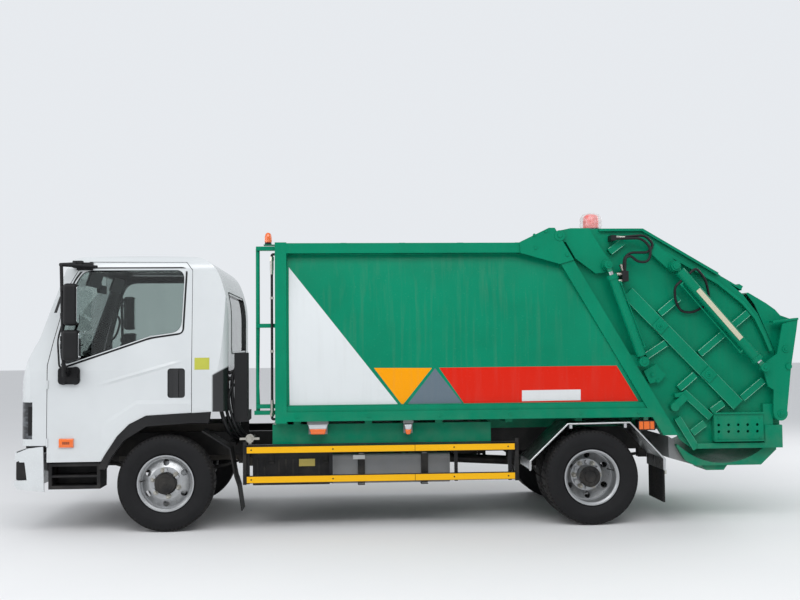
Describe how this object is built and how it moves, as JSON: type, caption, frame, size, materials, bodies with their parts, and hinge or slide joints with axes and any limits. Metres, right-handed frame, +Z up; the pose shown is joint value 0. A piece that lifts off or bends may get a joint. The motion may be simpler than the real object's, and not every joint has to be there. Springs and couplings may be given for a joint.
{
  "type": "garbage truck",
  "caption": "Rear-loading compactor truck with a tilting cab, a barrel-sided body, an ejector, a lifting tailgate with packer blade and a folding loading bucket.",
  "frame": {"origin": "centre of the whole truck's footprint box, on the road under the wheels", "axes": "+X forward along the truck, +Y to its left side, +Z up"},
  "size_m": [6.656, 2.36, 2.6819],
  "materials": {
    "green_paint": "gloss paint on steel",
    "white_paint": "pearl white body paint",
    "black_plastic": "grained black plastic",
    "chassis_black": "satin black paint",
    "tyre_rubber": "worn matt rubber",
    "rim_silver": "silver paint",
    "glass": "clear glass, lightly tinted",
    "seat_fabric": "dark woven fabric",
    "lamp_glass": "clear lens over a dark housing",
    "amber_plastic": "amber lens",
    "red_plastic": "red lens",
    "polished_steel": "polished stainless steel",
    "yellow_paint": "yellow paint",
    "tank_grey": "grey paint",
    "cast_iron": "raw cast iron",
    "chrome_rod": "hard chrome",
    "black_rubber": "black rubber"
  },
  "bodies": {
    "chassis": {"chassis_frame": "chassis_black", "front_bumper": "white_paint", "engine_block": "cast_iron", "front_axle": "chassis_black", "rear_axle": "chassis_black", "fuel_tank": "tank_grey", "battery_box": "black_plastic", "side_guards": "yellow_paint", "rear_fenders": "polished_steel", "mudguards": "black_rubber", "intake_duct": "black_plastic", "body_floor": "green_paint", "body_sides": "green_paint", "body_roof": "green_paint", "body_front": "green_paint", "body_rear_frame": "green_paint", "front_beacon": "amber_plastic", "tail_lamps": "amber_plastic", "body_hose": "black_rubber"},
    "cab": {"cab_roof": "white_paint", "cab_back": "white_paint", "cab_front": "white_paint", "cab_floor": "chassis_black", "cab_glass": "glass", "cab_steps": "black_plastic", "headlamps": "lamp_glass", "grille": "black_plastic", "seats": "seat_fabric", "dashboard": "black_plastic"},
    "left_door": {"door_left": "white_paint", "door_glass_left": "glass", "mirror_left": "black_plastic"},
    "right_door": {"door_right": "white_paint", "door_glass_right": "glass", "mirror_right": "black_plastic"},
    "left_knuckle": {"knuckle_left": "cast_iron"},
    "right_knuckle": {"knuckle_right": "cast_iron"},
    "front_wheel_left": {"front_rim_left": "rim_silver", "front_tyre_left": "tyre_rubber"},
    "front_wheel_right": {"front_rim_right": "rim_silver", "front_tyre_right": "tyre_rubber"},
    "rear_wheels_left": {"rear_rims_left": "rim_silver", "rear_tyres_left": "tyre_rubber"},
    "rear_wheels_right": {"rear_rims_right": "rim_silver", "rear_tyres_right": "tyre_rubber"},
    "ejector_plate": {"ejector": "green_paint"},
    "tailgate": {"tailgate_sides": "green_paint", "tailgate_roof": "green_paint", "hopper_trough": "green_paint", "leachate_box": "tank_grey", "tailgate_hoses": "black_rubber", "rear_beacon": "red_plastic"},
    "carriage": {"packer_carriage": "green_paint"},
    "blade": {"packer_blade": "green_paint"},
    "lift_barrel_pair": {"lift_barrels": "green_paint"},
    "lift_rod_pair": {"lift_rods": "chrome_rod"},
    "bucket_barrel_pair": {"bucket_barrels": "green_paint", "bucket_hoses": "black_rubber"},
    "bucket_rod_pair": {"bucket_rods": "chrome_rod"},
    "loading_bucket": {"bucket": "green_paint"}
  },
  "joints": [
    {"name": "ejector_push", "type": "slide", "parent": "chassis", "child": "ejector_plate", "axis": [-1, 0, 0], "range_m": [0, 2.05]},
    {"name": "cab_tilt", "type": "hinge", "parent": "chassis", "child": "cab", "pos_m": [3.233, 0, 0.7], "axis": [0, 1, 0], "range_deg": [0, 45]},
    {"name": "door_left_open", "type": "hinge", "parent": "cab", "child": "left_door", "pos_m": [3.057, 0.95, 1.3], "axis": [0, 0, -1], "range_deg": [0, 68]},
    {"name": "door_right_open", "type": "hinge", "parent": "cab", "child": "right_door", "pos_m": [3.057, -0.95, 1.3], "axis": [0, 0, 1], "range_deg": [0, 68]},
    {"name": "steer_left", "type": "hinge", "parent": "chassis", "child": "left_knuckle", "pos_m": [2.093, 0.69, 0.4025], "axis": [0, 0, 1], "range_deg": [-33, 33]},
    {"name": "steer_right", "type": "hinge", "parent": "chassis", "child": "right_knuckle", "pos_m": [2.093, -0.69, 0.4025], "axis": [0, 0, 1], "range_deg": [-33, 33]},
    {"name": "front_left_spin", "type": "hinge", "parent": "left_knuckle", "child": "front_wheel_left", "pos_m": [2.093, 0.822, 0.4025], "axis": [0, 1, 0], "continuous": true},
    {"name": "front_right_spin", "type": "hinge", "parent": "right_knuckle", "child": "front_wheel_right", "pos_m": [2.093, -0.822, 0.4025], "axis": [0, 1, 0], "continuous": true},
    {"name": "rear_left_spin", "type": "hinge", "parent": "chassis", "child": "rear_wheels_left", "pos_m": [-1.507, 0.762, 0.4025], "axis": [0, 1, 0], "continuous": true},
    {"name": "rear_right_spin", "type": "hinge", "parent": "chassis", "child": "rear_wheels_right", "pos_m": [-1.507, -0.762, 0.4025], "axis": [0, 1, 0], "continuous": true},
    {"name": "tailgate_lift", "type": "hinge", "parent": "chassis", "child": "tailgate", "pos_m": [-1.247, 0, 2.465], "axis": [0, 1, 0], "range_deg": [0, 80]},
    {"name": "lift_barrel_swing", "type": "hinge", "parent": "chassis", "child": "lift_barrel_pair", "pos_m": [-1.946, 0, 1.386], "axis": [0, -1, 0], "range_deg": [0, 6]},
    {"name": "lift_rod_stroke", "type": "slide", "parent": "lift_barrel_pair", "child": "lift_rod_pair", "axis": [0.3371, 0, 0.9415], "range_m": [0, 0.617]},
    {"name": "bucket_tip", "type": "hinge", "parent": "tailgate", "child": "loading_bucket", "pos_m": [-3.142, 0, 0.928], "axis": [0, -1, 0], "range_deg": [0, 120]},
    {"name": "bucket_barrel_swing", "type": "hinge", "parent": "tailgate", "child": "bucket_barrel_pair", "pos_m": [-2.237, 0, 2.198], "axis": [0, 1, 0], "range_deg": [0, 10]},
    {"name": "bucket_rod_stroke", "type": "slide", "parent": "bucket_barrel_pair", "child": "bucket_rod_pair", "axis": [-0.6545, 0, -0.7561], "range_m": [0, 0.74]},
    {"name": "carriage_slide", "type": "slide", "parent": "tailgate", "child": "carriage", "axis": [-0.697, 0, -0.717], "range_m": [0, 0.6]},
    {"name": "blade_swing", "type": "hinge", "parent": "carriage", "child": "blade", "pos_m": [-2.2488, 0, 1.4952], "axis": [0, 1, 0], "range_deg": [0, 50]}
  ],
  "couplings": [
    {"joint": "steer_right", "follows": "steer_left", "ratio": 1},
    {"joint": "lift_barrel_swing", "follows": "tailgate_lift", "ratio": 0.06875},
    {"joint": "lift_rod_stroke", "follows": "tailgate_lift", "m_per_rad": 0.43473},
    {"joint": "bucket_barrel_swing", "follows": "bucket_tip", "ratio": 0.06667},
    {"joint": "bucket_rod_stroke", "follows": "bucket_tip", "m_per_rad": 0.34855}
  ]
}
